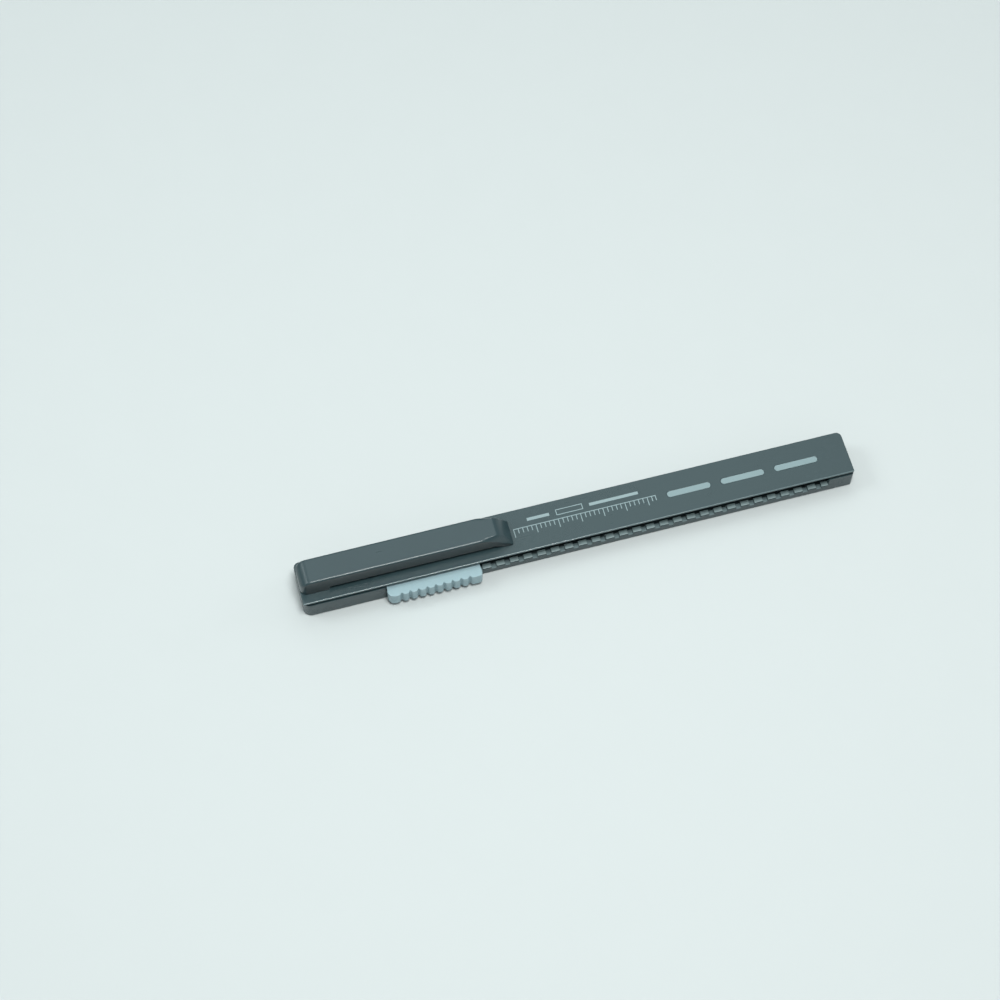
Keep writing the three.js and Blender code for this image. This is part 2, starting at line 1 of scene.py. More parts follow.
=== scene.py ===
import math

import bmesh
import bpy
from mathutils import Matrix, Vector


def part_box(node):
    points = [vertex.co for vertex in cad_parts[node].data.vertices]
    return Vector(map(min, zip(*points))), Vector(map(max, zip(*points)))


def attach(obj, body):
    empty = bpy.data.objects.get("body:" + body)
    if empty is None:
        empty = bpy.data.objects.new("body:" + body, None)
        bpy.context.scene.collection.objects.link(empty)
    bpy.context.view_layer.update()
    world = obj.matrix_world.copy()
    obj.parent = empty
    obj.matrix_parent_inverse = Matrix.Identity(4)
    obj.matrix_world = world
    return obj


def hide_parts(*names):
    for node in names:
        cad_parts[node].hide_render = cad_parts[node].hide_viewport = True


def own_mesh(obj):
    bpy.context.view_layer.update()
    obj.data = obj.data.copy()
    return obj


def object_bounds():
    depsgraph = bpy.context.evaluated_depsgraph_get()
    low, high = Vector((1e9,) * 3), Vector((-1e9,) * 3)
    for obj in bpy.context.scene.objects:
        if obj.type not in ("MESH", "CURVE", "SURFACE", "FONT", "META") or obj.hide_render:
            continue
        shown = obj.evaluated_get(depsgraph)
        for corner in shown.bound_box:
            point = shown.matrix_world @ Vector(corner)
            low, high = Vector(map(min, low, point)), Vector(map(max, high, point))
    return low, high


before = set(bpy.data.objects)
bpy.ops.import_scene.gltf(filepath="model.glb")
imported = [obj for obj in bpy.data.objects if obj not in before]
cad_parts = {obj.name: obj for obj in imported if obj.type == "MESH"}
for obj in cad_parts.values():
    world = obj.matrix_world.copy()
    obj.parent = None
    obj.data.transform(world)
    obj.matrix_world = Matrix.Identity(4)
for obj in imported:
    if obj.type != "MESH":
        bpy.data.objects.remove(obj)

# %% [markdown]
# # A slim slide eraser, dressed for the camera
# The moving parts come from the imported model, in metres, with +X to the mouth, -Y to the
# thumb slide and +Z up to the pocket clip. This script gives each part its rounded edges, its
# moulded finish and its small print, and lights it softly on a pale table. Nothing is moved:
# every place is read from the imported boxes.

MM = 0.001
cad_low, cad_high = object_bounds()
case_low, case_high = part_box("lower_case")
cover_low, cover_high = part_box("top_cover")
clip_low, clip_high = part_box("pocket_clip")
knob_low, knob_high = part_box("thumb_slide")
print("whole object, mm:", [round(v / MM, 2) for v in (cad_high - cad_low)])

# %% [markdown]
# ## The camera first
# A small flat object is best seen through a long lens from well above, so that its long edges
# stay nearly parallel. A 90 mm lens on a full-frame sensor half a metre away does that.
# The camera could be turned by three angles, but a place and a target are easier to read.

# %% Camera
CAMERA_PLACE = Vector((-79.3, -230.1, 488.7)) * MM
CAMERA_AIM = Vector((-14.0, 11.35, 0.0)) * MM


def aim(thing, place, target):
    thing.location = place
    thing.rotation_euler = (target - place).to_track_quat("-Z", "Y").to_euler()


camera_data = bpy.data.cameras.new("camera")
camera_data.lens = 90
camera_data.sensor_width = 36
camera_data.clip_start = 0.01
camera = bpy.data.objects.new("camera", camera_data)
bpy.context.scene.collection.objects.link(camera)
aim(camera, CAMERA_PLACE, CAMERA_AIM)
bpy.context.scene.camera = camera
print("camera is", round((CAMERA_AIM - CAMERA_PLACE).length / MM), "mm from its aim")

# %% [markdown]
# ## Light and table
# A small dark object is drawn by what it mirrors, so the lights stand where its faces mirror
# them. The key is a small soft box high up and slightly in front, close to the camera. It reaches
# under the cover to the toothed ledge, and every rounded upper rim mirrors it as a thin bright
# line. A large dim panel stands behind, where the flat tops mirror it, which gives them their
# even sheen. Two weak fills stand beyond the ends: one opens the shadow at the mouth, the other
# lights the clip's round end. The uprights mirror only the dark parts below them, so they stay
# deep. A bright world alone would be simpler, but it would wash those uprights out.

# %% Lights and world
# The clip's sides are also painted darker, a painted shade, besides the dark they mirror.
LIGHTS = [
    # name, place, size in metres, power in watts, colour
    # the cover's slot-side rim is also painted paler, a painted highlight besides this lamp's line
    ("key_soft_box", (0.02, -0.13, 0.64), 0.20, 3.6, (0.96, 1.0, 0.99)),
    ("back_panel", (0.05, 0.30, 0.62), 0.55, 1.0, (0.90, 1.0, 1.0)),
    ("mouth_side_fill", (0.60, 0.05, 0.30), 0.30, 0.35, (0.96, 1.0, 1.0)),
    ("rear_side_fill", (-0.45, 0.16, 0.50), 0.30, 1.2, (0.92, 1.0, 1.0)),
]
for name, place, size, power, colour in LIGHTS:
    lamp = bpy.data.lights.new(name, "AREA")
    lamp.shape = "DISK"
    lamp.size = size
    lamp.energy = power
    lamp.color = colour
    light = bpy.data.objects.new(name, lamp)
    bpy.context.scene.collection.objects.link(light)
    aim(light, Vector(place), Vector((0, 0, 0)))
    print(name, "is", round(Vector(place).length, 2), "m from the object")

world = bpy.data.worlds.new("light_tent")
world.use_nodes = True
backdrop = world.node_tree.nodes["Background"]
backdrop.inputs["Color"].default_value = (0.88, 0.97, 0.98, 1)
backdrop.inputs["Strength"].default_value = 0.36
bpy.context.scene.world = world
bpy.context.scene.view_settings.view_transform = "Standard"

# %% [markdown]
# ## Effects that several finishes share
# A moulded plastic part carries the fine spark-eroded texture of its mould, and in use it picks
# up faint rubbing marks. Each effect is a node group with named sockets, so that every finish
# places the same group with its own values. A group puts out only colours and values, and the
# shader that uses them stays in the material. Copying the nodes into every material would work
# too, but then each change would have to be made eleven times.

# %% Node group helper
def new_group(name, inputs, outputs):
    group = bpy.data.node_groups.new(name, "ShaderNodeTree")
    for label, kind, value in inputs:
        socket = group.interface.new_socket(label, in_out="INPUT", socket_type=kind)
        if value is not None:
            socket.default_value = value
    for label, kind in outputs:
        group.interface.new_socket(label, in_out="OUTPUT", socket_type=kind)
    return group, group.nodes.new("NodeGroupInput"), group.nodes.new("NodeGroupOutput")


def add_node(tree, kind, values=None, **settings):
    node = tree.nodes.new(kind)
    for key, value in settings.items():
        setattr(node, key, value)
    for key, value in (values or {}).items():
        node.inputs[key].default_value = value
    return node


# %% [markdown]
# ### The mould's grain
# A steel mould is eroded or blasted before use, and its fine pits come out on every part. An
# image could carry them, but it would need unwrapping and would blur close up. Two noises do it
# at any distance: a fine one for the pits, and a slow one that lets colour and gloss drift a
# little, as pigment and cooling do.

# %% Moulded surface: fine grain, slow colour drift
GRAIN_SHARE = 0.35  # of the drift that comes from the pits


def make_moulded_surface():
    group, given, made = new_group(
        "moulded_surface",
        [
            ("Coordinates", "NodeSocketVector", None),
            ("Colour", "NodeSocketColor", (0.1, 0.1, 0.1, 1)),
            ("Colour Drift", "NodeSocketFloat", 0.1),
            ("Grain Size", "NodeSocketFloat", 0.00012),
            ("Roughness", "NodeSocketFloat", 0.5),
            ("Roughness Drift", "NodeSocketFloat", 0.08),
        ],
        [
            ("Colour", "NodeSocketColor"),
            ("Roughness", "NodeSocketFloat"),
            ("Height", "NodeSocketFloat"),
        ],
    )
    link = group.links.new
    scale = add_node(group, "ShaderNodeMath", operation="DIVIDE", values={0: 1.0})
    link(given.outputs["Grain Size"], scale.inputs[1])
    grain = add_node(group, "ShaderNodeTexNoise", {"Detail": 2.0, "Roughness": 0.6})
    link(given.outputs["Coordinates"], grain.inputs["Vector"])
    link(scale.outputs[0], grain.inputs["Scale"])
    slow = add_node(group, "ShaderNodeTexNoise", {"Scale": 90.0, "Detail": 3.0, "Roughness": 0.5})
    link(given.outputs["Coordinates"], slow.inputs["Vector"])

    centred = add_node(group, "ShaderNodeMath", operation="SUBTRACT", values={1: 0.5})
    link(slow.outputs["Fac"], centred.inputs[0])
    centring = {1: GRAIN_SHARE, 2: -GRAIN_SHARE / 2}
    speckle = add_node(group, "ShaderNodeMath", operation="MULTIPLY_ADD", values=centring)
    link(grain.outputs["Fac"], speckle.inputs[0])
    drift = add_node(group, "ShaderNodeMath", operation="ADD")
    link(centred.outputs[0], drift.inputs[0])
    link(speckle.outputs[0], drift.inputs[1])
    strength = add_node(group, "ShaderNodeMath", operation="MULTIPLY")
    link(drift.outputs[0], strength.inputs[0])
    link(given.outputs["Colour Drift"], strength.inputs[1])
    factor = add_node(group, "ShaderNodeMath", operation="ADD", values={1: 1.0})
    link(strength.outputs[0], factor.inputs[0])
    shade = add_node(group, "ShaderNodeVectorMath", operation="SCALE")
    link(given.outputs["Colour"], shade.inputs[0])
    link(factor.outputs[0], shade.inputs["Scale"])
    link(shade.outputs[0], made.inputs["Colour"])

    rough_drift = add_node(group, "ShaderNodeMath", operation="MULTIPLY")
    link(drift.outputs[0], rough_drift.inputs[0])
    link(given.outputs["Roughness Drift"], rough_drift.inputs[1])
    rough = add_node(group, "ShaderNodeMath", operation="ADD", use_clamp=True)
    link(given.outputs["Roughness"], rough.inputs[0])
    link(rough_drift.outputs[0], rough.inputs[1])
    link(rough.outputs[0], made.inputs["Roughness"])
    link(grain.outputs["Fac"], made.inputs["Height"])
    return group


moulded_surface = make_moulded_surface()
print(moulded_surface.name, "has", len(moulded_surface.nodes), "nodes")

# %% [markdown]
# ### Rubbing marks
# Where a part slides in a pocket or a hand, its high spots are polished in long faint strokes.
# They could be painted one by one. A noise stretched along X gives the same strokes, slightly
# turned so that they don't run true to the part, and a slower noise keeps them in patches.

# %% Rubbing marks: long faint strokes along the part
STROKE_STRETCH = (0.06, 1.0, 1.0)
STROKE_TURN = (0, 0, 0.12)  # radians


def make_rubbing_marks():
    group, given, made = new_group(
        "rubbing_marks",
        [
            ("Coordinates", "NodeSocketVector", None),
            ("Amount", "NodeSocketFloat", 0.3),
            ("Spacing", "NodeSocketFloat", 900.0),
        ],
        [("Mask", "NodeSocketFloat")],
    )
    link = group.links.new
    stretch = add_node(group, "ShaderNodeMapping", {"Scale": STROKE_STRETCH, "Rotation": STROKE_TURN})
    link(given.outputs["Coordinates"], stretch.inputs["Vector"])
    strokes = add_node(group, "ShaderNodeTexNoise", {"Detail": 5.0, "Roughness": 0.7})
    link(stretch.outputs["Vector"], strokes.inputs["Vector"])
    link(given.outputs["Spacing"], strokes.inputs["Scale"])
    patches = add_node(group, "ShaderNodeTexNoise", {"Scale": 130.0, "Detail": 2.0})
    link(given.outputs["Coordinates"], patches.inputs["Vector"])
    keep = add_node(group, "ShaderNodeMapRange", {"From Min": 0.60, "From Max": 0.72})
    link(strokes.outputs["Fac"], keep.inputs["Value"])
    where = add_node(group, "ShaderNodeMapRange", {"From Min": 0.5, "From Max": 0.66})
    link(patches.outputs["Fac"], where.inputs["Value"])
    both = add_node(group, "ShaderNodeMath", operation="MULTIPLY")
    link(keep.outputs["Result"], both.inputs[0])
    link(where.outputs["Result"], both.inputs[1])
    amount = add_node(group, "ShaderNodeMath", operation="MULTIPLY", use_clamp=True)
    link(both.outputs[0], amount.inputs[0])
    link(given.outputs["Amount"], amount.inputs[1])
    link(amount.outputs[0], made.inputs["Mask"])
    return group


rubbing_marks = make_rubbing_marks()
print(rubbing_marks.name, "has", len(rubbing_marks.nodes), "nodes")

# %% [markdown]
# ## Finishes
# All the plastics share one recipe: the moulded surface gives colour, roughness and height, and
# the rubbing marks polish the high spots. What differs is the colour, the gloss and the size of
# the grain, which is why one function makes them all. The bump is a few thousandths of a
# millimetre high: it breaks up the reflections and nothing more, since shape comes from meshes.

# %% Plastic recipe
RUBBED_GLOSS = 0.18  # roughness lost where a stroke is full


def moulded_plastic(name, colour, roughness, grain_mm, bump_mm, marks, drift=0.12):
    material = bpy.data.materials.new(name)
    material.use_nodes = True
    tree = material.node_tree
    shader = tree.nodes["Principled BSDF"]
    place = add_node(tree, "ShaderNodeTexCoord")
    surface = add_node(tree, "ShaderNodeGroup", node_tree=moulded_surface)
    surface.inputs["Colour"].default_value = (*colour, 1)
    surface.inputs["Colour Drift"].default_value = drift
    surface.inputs["Grain Size"].default_value = grain_mm * MM
    surface.inputs["Roughness"].default_value = roughness
    tree.links.new(place.outputs["Object"], surface.inputs["Coordinates"])
    rubbed = add_node(tree, "ShaderNodeGroup", node_tree=rubbing_marks)
    rubbed.inputs["Amount"].default_value = marks
    tree.links.new(place.outputs["Object"], rubbed.inputs["Coordinates"])
    polish = add_node(tree, "ShaderNodeMath", operation="MULTIPLY_ADD", values={1: -RUBBED_GLOSS})
    tree.links.new(rubbed.outputs["Mask"], polish.inputs[0])
    tree.links.new(surface.outputs["Roughness"], polish.inputs[2])
    tree.links.new(surface.outputs["Colour"], shader.inputs["Base Color"])
    tree.links.new(polish.outputs[0], shader.inputs["Roughness"])
    bump = add_node(tree, "ShaderNodeBump", {"Strength": 0.6, "Distance": bump_mm * MM})
    tree.links.new(surface.outputs["Height"], bump.inputs["Height"])
    tree.links.new(bump.outputs["Normal"], shader.inputs["Normal"])
    shader.inputs["IOR"].default_value = 1.5
    return material


# %% [markdown]
# ### The finishes of this holder
# The case, the cover and the clip are one dark grey plastic, which looks lighter wherever it
# is rubbed or mirrors a light. Some places get a finish of their own in place of a mask: the
# tooth tops and the notch floors are painted paler as painted light, the cover's rim on the slot
# side is painted paler as a painted highlight, and the clip's sides are painted darker as painted
# shade.

# %% The finishes of this holder
CASE_GREY = (0.026, 0.049, 0.055)
# painted light: tooth tops and notch floors painted paler, as the ledge's lit upward faces
RACK_PAINTED_LIGHT = (0.215, 0.280, 0.285)
NOTCH_PAINTED_LIGHT = (0.135, 0.185, 0.195)
# painted highlight: the paler grey of the cover's rounded rim on the slot side
RIM_PAINTED_HIGHLIGHT = (0.120, 0.165, 0.175)
CLIP_GREY = (0.025, 0.047, 0.054)
# painted shade: the clip's sides, painted much darker than its top
CLIP_SIDE_PAINTED_SHADE = (0.008, 0.020, 0.024)
case_finish = moulded_plastic("case_satin_grey", CASE_GREY, 0.28, 0.10, 0.006, 0.25)
rack_painted_light_finish = moulded_plastic("rack_painted_light_grey", RACK_PAINTED_LIGHT, 0.35, 0.10, 0.008, 0.8, 0.3)
notch_painted_light_finish = moulded_plastic("notch_painted_light_grey", NOTCH_PAINTED_LIGHT, 0.45, 0.10, 0.008, 0.4, 0.3)
rim_highlight_finish = moulded_plastic("rim_glossy_painted_highlight", RIM_PAINTED_HIGHLIGHT, 0.20, 0.10, 0.002, 0.6, 0.25)
clip_finish = moulded_plastic("clip_satin_grey", CLIP_GREY, 0.30, 0.09, 0.004, 0.25)
clip_side_shade_finish = moulded_plastic("clip_side_painted_shade", CLIP_SIDE_PAINTED_SHADE, 0.34, 0.09, 0.003, 0.5)
inner_finish = moulded_plastic("inner_black", (0.014, 0.018, 0.020), 0.45, 0.15, 0.008, 0.2)
slide_finish = moulded_plastic("slide_pale_blue", (0.275, 0.385, 0.42), 0.42, 0.12, 0.006, 0.3, 0.06)
frosted_finish = moulded_plastic("window_frosted", (0.20, 0.275, 0.29), 0.55, 0.08, 0.008, 0.1, 0.1)
ink_finish = moulded_plastic("print_pale_grey", (0.24, 0.315, 0.33), 0.6, 0.05, 0.003, 0.6, 0.25)
eraser_finish = moulded_plastic("eraser_vinyl", (0.62, 0.66, 0.65), 0.75, 0.16, 0.020, 0.2, 0.05)
print(len(bpy.data.materials), "materials so far")


# %% [markdown]
# ### Spring steel
# The leaf spring is cut from rolled strip, whose fine lines run along it. A brushed look could
# come from the anisotropic setting, but that needs tangents. The rubbing strokes, set closer, do
# the same here: where a line is deep, the steel is darker and rougher.

# %% Spring steel: rolled strip with lines along its length
def make_spring_steel():
    material = bpy.data.materials.new("spring_steel")
    material.use_nodes = True
    tree = material.node_tree
    shader = tree.nodes["Principled BSDF"]
    shader.inputs["Metallic"].default_value = 1.0
    place = add_node(tree, "ShaderNodeTexCoord")
    rolled = add_node(tree, "ShaderNodeGroup", node_tree=rubbing_marks)
    rolled.inputs["Amount"].default_value = 1.0
    rolled.inputs["Spacing"].default_value = 2500.0
    tree.links.new(place.outputs["Object"], rolled.inputs["Coordinates"])
    shade = add_node(tree, "ShaderNodeMix", data_type="RGBA")
    shade.inputs["A"].default_value = (0.56, 0.57, 0.58, 1)
    shade.inputs["B"].default_value = (0.36, 0.37, 0.38, 1)
    tree.links.new(rolled.outputs["Mask"], shade.inputs["Factor"])
    tree.links.new(shade.outputs["Result"], shader.inputs["Base Color"])
    rough = add_node(tree, "ShaderNodeMapRange", {"To Min": 0.24, "To Max": 0.42})
    tree.links.new(rolled.outputs["Mask"], rough.inputs["Value"])
    tree.links.new(rough.outputs["Result"], shader.inputs["Roughness"])
    return material


steel_finish = make_spring_steel()
print(steel_finish.name, "has", len(steel_finish.node_tree.nodes), "nodes")

# %% [markdown]
# ### The table
# The object lies on pale matt card. A plane is enough, and it reaches so far that its edge is
# never near the object. It lies a hair lower than the case, because two faces in one plane
# would flicker. Its colour is slightly uneven, as card's is, so it isn't a flat fill.

# %% Table: matt card with a trace of mottling
TABLE_GAP = 0.02 * MM


def make_table_finish():
    material = bpy.data.materials.new("table_card")
    material.use_nodes = True
    tree = material.node_tree
    shader = tree.nodes["Principled BSDF"]
    place = add_node(tree, "ShaderNodeTexCoord")
    surface = add_node(tree, "ShaderNodeGroup", node_tree=moulded_surface)
    surface.inputs["Colour"].default_value = (0.52, 0.545, 0.545, 1)
    surface.inputs["Colour Drift"].default_value = 0.02
    surface.inputs["Grain Size"].default_value = 0.4 * MM
    surface.inputs["Roughness"].default_value = 0.8
    tree.links.new(place.outputs["Object"], surface.inputs["Coordinates"])
    tree.links.new(surface.outputs["Colour"], shader.inputs["Base Color"])
    tree.links.new(surface.outputs["Roughness"], shader.inputs["Roughness"])
    return material


bpy.ops.mesh.primitive_plane_add(size=4, location=(0, 0, cad_low.z - TABLE_GAP))
table = bpy.context.object
table.name = "table"
table.data.materials.append(make_table_finish())
print(table.name, "top is at", round(table.location.z / MM, 3), "mm")

# %% [markdown]
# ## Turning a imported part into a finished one
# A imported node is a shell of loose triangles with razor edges. No moulded part has those: the
# tool's corners are rounded, and it is the rounds that catch the light. So a copy is merged,
# its flat triangles are dissolved into whole faces, and chosen edges are bevelled. Edges are
# chosen by a small test on their middle and direction, so that each rim gets its own radius.
# Smooth shading would bend the light on a wide flat face next to a narrow round, so a weighted
# normal modifier lets the wide face keep its own direction. A Bevel modifier would be quicker to
# set up, but it treats every edge alike, and the thin teeth would fold over.

# %% Copy, round and finish
FLAT = math.radians(0.6)
CORNER = math.radians(40)
SMOOTH_BELOW = math.radians(38)
SAME_PLACE = 0.002 * MM


def merged_copy(node):
    bm = bmesh.new()
    bm.from_mesh(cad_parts[node].data)
    bmesh.ops.remove_doubles(bm, verts=bm.verts, dist=SAME_PLACE)
    bmesh.ops.dissolve_limit(bm, angle_limit=FLAT, verts=bm.verts, edges=bm.edges)
    return bm


def sharp_edges(bm, test, least=CORNER):
    """The convex edges turning by more than least whose middle and direction pass the test."""
    found = []
    for edge in bm.edges:
        if len(edge.link_faces) != 2 or edge.calc_face_angle_signed(0.0) < least:
            continue
        a, b = edge.verts[0].co, edge.verts[1].co
        if test((a + b) / 2, (b - a).normalized()):
            found.append(edge)
    return found


def round_edges(bm, test, radius_mm, segments=3, least=CORNER):
    edges = sharp_edges(bm, test, least)
    if edges:
        bmesh.ops.bevel(
            bm,
            geom=edges,
            offset=radius_mm * MM,
            offset_type="OFFSET",
            affect="EDGES",
            segments=segments,
            profile=0.5,
            material=-1,
            clamp_overlap=False,
        )
    return len(edges)


def everywhere(middle, direction):
    return True


def shade_by_angle(bm):
    for face in bm.faces:
        face.smooth = True
    for edge in bm.edges:
        edge.smooth = edge.calc_face_angle(math.pi) < SMOOTH_BELOW


def finished_piece(bm, name, finishes, body, stands_for=()):
    shade_by_angle(bm)
    mesh = bpy.data.meshes.new(name)
    bm.to_mesh(mesh)
    bm.free()
    for finish in finishes:
        mesh.materials.append(finish)
    piece = bpy.data.objects.new(name, mesh)
    bpy.context.scene.collection.objects.link(piece)
    flat_faces_win = piece.modifiers.new("flat_faces_win", "WEIGHTED_NORMAL")
    flat_faces_win.keep_sharp = True
    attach(piece, body)
    for node in stands_for:
        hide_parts(node)
    print(name, len(mesh.polygons), "faces")
    return piece


def near(value, target, within_mm=0.02):
    return abs(value - target) < within_mm * MM


def give_finish(bm, index, test):
    """Gives one of the piece's finishes to the faces whose middle and normal pass the test."""
    bm.normal_update()
    chosen = [face for face in bm.faces if test(face.calc_center_median(), face.normal)]
    for face in chosen:
        face.material_index = index
    return len(chosen)


# %% [markdown]
# ## The lower case
# The case is an injection-moulded tray. Its floor edge has a soft round, the ledge's outer edge
# a smaller one, and the teeth only a trace. One radius for all would be less work, but it would
# melt the teeth. The largest is made first, because a large round must not run into a small one
# made before it. The tooth tops and the notch floors between them get finishes of their own,
# painted far paler than the case: painted light, for the ledge's upward faces lit under the
# cover's shade. The tooth tops are painted paler than the notch floors.

# %% Lower case
LEDGE_TOP = 2.4 * MM
NOTCH_FLOOR = 1.7 * MM
WALL = 1.2 * MM
SLOT_FRONT_WALL = 5.6 * MM
FLOOR_ROUND = 0.40  # mm, as round_edges takes its radii
LEDGE_ROUND = 0.22  # mm
SLOT_CORNER_ROUND = 0.10  # mm
TOOTH_ROUND = 0.05  # mm


def make_case_tray():
    bm = merged_copy("lower_case")
    front_face = case_low.y
    slot_rear, slot_front = knob_low.x, case_high.x - SLOT_FRONT_WALL

    def is_floor_edge(p, d):
        return near(p.z, case_low.z)

    def is_slot_corner(p, d):
        return abs(d.z) > 0.9 and p.y < front_face + 0.1 * MM and near(p.x, slot_front)

    def is_ledge_edge(p, d):
        return near(p.z, LEDGE_TOP) and near(p.y, front_face) and slot_rear < p.x < slot_front

    def is_tooth_edge(p, d):
        return near(p.z, LEDGE_TOP) and p.y < front_face + WALL and abs(d.y) > 0.9

    floor = round_edges(bm, is_floor_edge, FLOOR_ROUND, 4)
    corners = round_edges(bm, is_slot_corner, SLOT_CORNER_ROUND, 2)
    ledge = round_edges(bm, is_ledge_edge, LEDGE_ROUND, 3)
    teeth = round_edges(bm, is_tooth_edge, TOOTH_ROUND, 1)
    print("rounded", floor, corners, ledge, teeth, "edges of the tray")

    def faces_up_at(height):
        return lambda p, n: near(p.z, height) and n.z > 0.9 and p.y < front_face + WALL

    # painted light: the tooth tops and the notch floors get the paler finishes
    tops = give_finish(bm, 1, faces_up_at(LEDGE_TOP))
    floors = give_finish(bm, 2, faces_up_at(NOTCH_FLOOR))
    print(tops, "faces on tooth tops and", floors, "on notch floors")
    finishes = [case_finish, rack_painted_light_finish, notch_painted_light_finish]
    finished_piece(bm, "case_tray", finishes, "case", ["lower_case"])


make_case_tray()

# %% [markdown]
# ## The cover
# The cover is a thin moulded plate, thinner still along the slot side, where a dark shadow line
# runs under it. Its upper rim draws the bright line along the whole holder, so it gets a true
# radius, and on the slot side its rounded faces are painted paler: a painted highlight. The
# windows get a finer round. The rim's shine could be left to the lights alone, but a rough rim
# spreads it into a dull band, so those faces also get a glossier finish.

# %% Top cover
COVER_ROUND = 0.20  # mm
WINDOW_ROUND = 0.07  # mm
COVER_RIM = 0.3 * MM  # width of the strip that holds the rounded faces
COVER_CORNER = 2.3 * MM  # length of the ends that hold the corner arcs
WINDOW_BAND = 0.9 * MM  # half the width of the strip that holds the windows


def make_cover_plate():
    bm = merged_copy("top_cover")

    def is_outline_edge(p, d):
        beside = p.y < cover_low.y + COVER_RIM or p.y > cover_high.y - COVER_RIM
        at_end = p.x < cover_low.x + COVER_CORNER or p.x > cover_high.x - COVER_CORNER
        return near(p.z, cover_high.z) and (beside or at_end)

    def is_window_edge(p, d):
        return near(p.z, cover_high.z) and abs(p.y) < WINDOW_BAND and p.x > 0

    def is_painted_highlight_rim(p, n):
        in_strip = p.y < cover_low.y + COVER_RIM and p.z > cover_high.z - COVER_RIM
        return in_strip and 0.45 < n.z < 0.99

    outline = round_edges(bm, is_outline_edge, COVER_ROUND, 4)
    windows = round_edges(bm, is_window_edge, WINDOW_ROUND, 2)
    print("rounded", outline, "rim edges and", windows, "window edges")
    # painted highlight: the slot side's rounded rim faces get the paler, glossier finish
    print(give_finish(bm, 1, is_painted_highlight_rim), "faces of the rim are polished")
    finishes = [case_finish, rim_highlight_finish]
    finished_piece(bm, "cover_plate", finishes, "case", ["top_cover"])


make_cover_plate()

# %% [markdown]
# ## The windows, the mouth guide and the parts inside
# These are small plain mouldings. Each keeps its imported shape and gets a slight round on all
# its convex edges, which is what a mould leaves. Each could have a function, but they would all
# say the same, so one loop makes them. The leaf spring lies between the latch and the carriage,
# and its piece gets a mesh of its own.

# %% Small parts
SMALL_PARTS = [
    # node, finish, body, slot, radius in mm
    ("window_strip", frosted_finish, "case", "frosted_plastic", 0.03),
    ("mouth_guide", inner_finish, "case", "inner_plastic", 0.08),
    ("clip_foot", clip_finish, "case", "clip_plastic", 0.10),
    ("latch_plate", inner_finish, "slide", "inner_plastic", 0.06),
    ("carriage", inner_finish, "sled", "inner_plastic", 0.08),
    ("upper_jaw", inner_finish, "sled", "inner_plastic", 0.06),
    ("lower_jaw", inner_finish, "sled", "inner_plastic", 0.06),
    ("latch_spring", steel_finish, "sled", "spring_steel", 0.03),
]
for node, finish, body, slot, radius in SMALL_PARTS:
    shape = merged_copy(node)
    round_edges(shape, everywhere, radius, 2)
    small = finished_piece(shape, node + "_moulded", [finish], body, [node])
    if node == "latch_spring":
        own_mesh(small)

# %% [markdown]
# ## The thumb slide
# A pale ribbed pad on a neck. The thumb pushes on the ribs, so they are broad and round, with
# narrow grooves between them: one smooth wave along the pad's front. Cutting nine grooves out
# of a block leaves sharp lips that no bevel rounds cleanly. So the pad's plan is drawn once with
# its wave, raised, and its upper and lower rims are rolled by insetting the end faces in steps.

# %% The pad's plan
GROOVE_COUNT = 9
GROOVE_PITCH = 1.88 * MM
GROOVE_DEPTH = 0.55 * MM
PAD_BACK = case_low.y - 0.65 * MM  # the pad stands off the case
PAD_REAR_ROUND = 1.5 * MM
PAD_FRONT_ROUND = 0.8 * MM
PAD_RIM = 0.12 * MM
WAVE_STEPS = 40  # per groove
GROOVE_SHARPNESS = 8  # a higher power makes the grooves narrower


def wave(x):
    """How far the front face at x lies behind the ribs' crests."""
    along = (x - (knob_low.x + knob_high.x) / 2) / GROOVE_PITCH
    if abs(along) > GROOVE_COUNT / 2:
        return 0.0
    nearness = math.cos(math.pi * (along - round(along)))
    return GROOVE_DEPTH * (0.8 * nearness**GROOVE_SHARPNESS + 0.2 * nearness**2)


def arc_points(centre, radius, start, end, count):
    """Points on an arc from start to end, in degrees, with both ends."""
    turns = [math.radians(start + (end - start) * i / count) for i in range(count + 1)]
    return [Vector((centre[0] + radius * math.cos(a), centre[1] + radius * math.sin(a))) for a in turns]


def pad_plan():
    rear, front, crest = knob_low.x, knob_high.x, knob_low.y
    steps = GROOVE_COUNT * WAVE_STEPS
    first = (rear + front - GROOVE_COUNT * GROOVE_PITCH) / 2
    stations = [first + GROOVE_COUNT * GROOVE_PITCH * i / steps for i in range(steps + 1)]
    rear_turn = (rear + PAD_REAR_ROUND, crest + PAD_REAR_ROUND)
    front_turn = (front - PAD_FRONT_ROUND, crest + PAD_FRONT_ROUND)
    return [
        Vector((rear, PAD_BACK)),
        *arc_points(rear_turn, PAD_REAR_ROUND, 180, 270, 12),
        *(Vector((x, crest + wave(x))) for x in stations),
        *arc_points(front_turn, PAD_FRONT_ROUND, 270, 360, 10),
        Vector((front, PAD_BACK)),
    ]


print("the pad's plan has", len(pad_plan()), "points")

# %% The pad, raised from its plan
def roll_rim(bm, face, radius, steps=4):
    turns = [math.pi / 2 * i / steps for i in range(steps + 1)]
    for a, b in zip(turns, turns[1:]):
        bmesh.ops.inset_region(
            bm,
            faces=[face],
            thickness=radius * (math.cos(a) - math.cos(b)),
            depth=radius * (math.sin(b) - math.sin(a)),
            use_boundary=True,
            use_even_offset=True,
        )


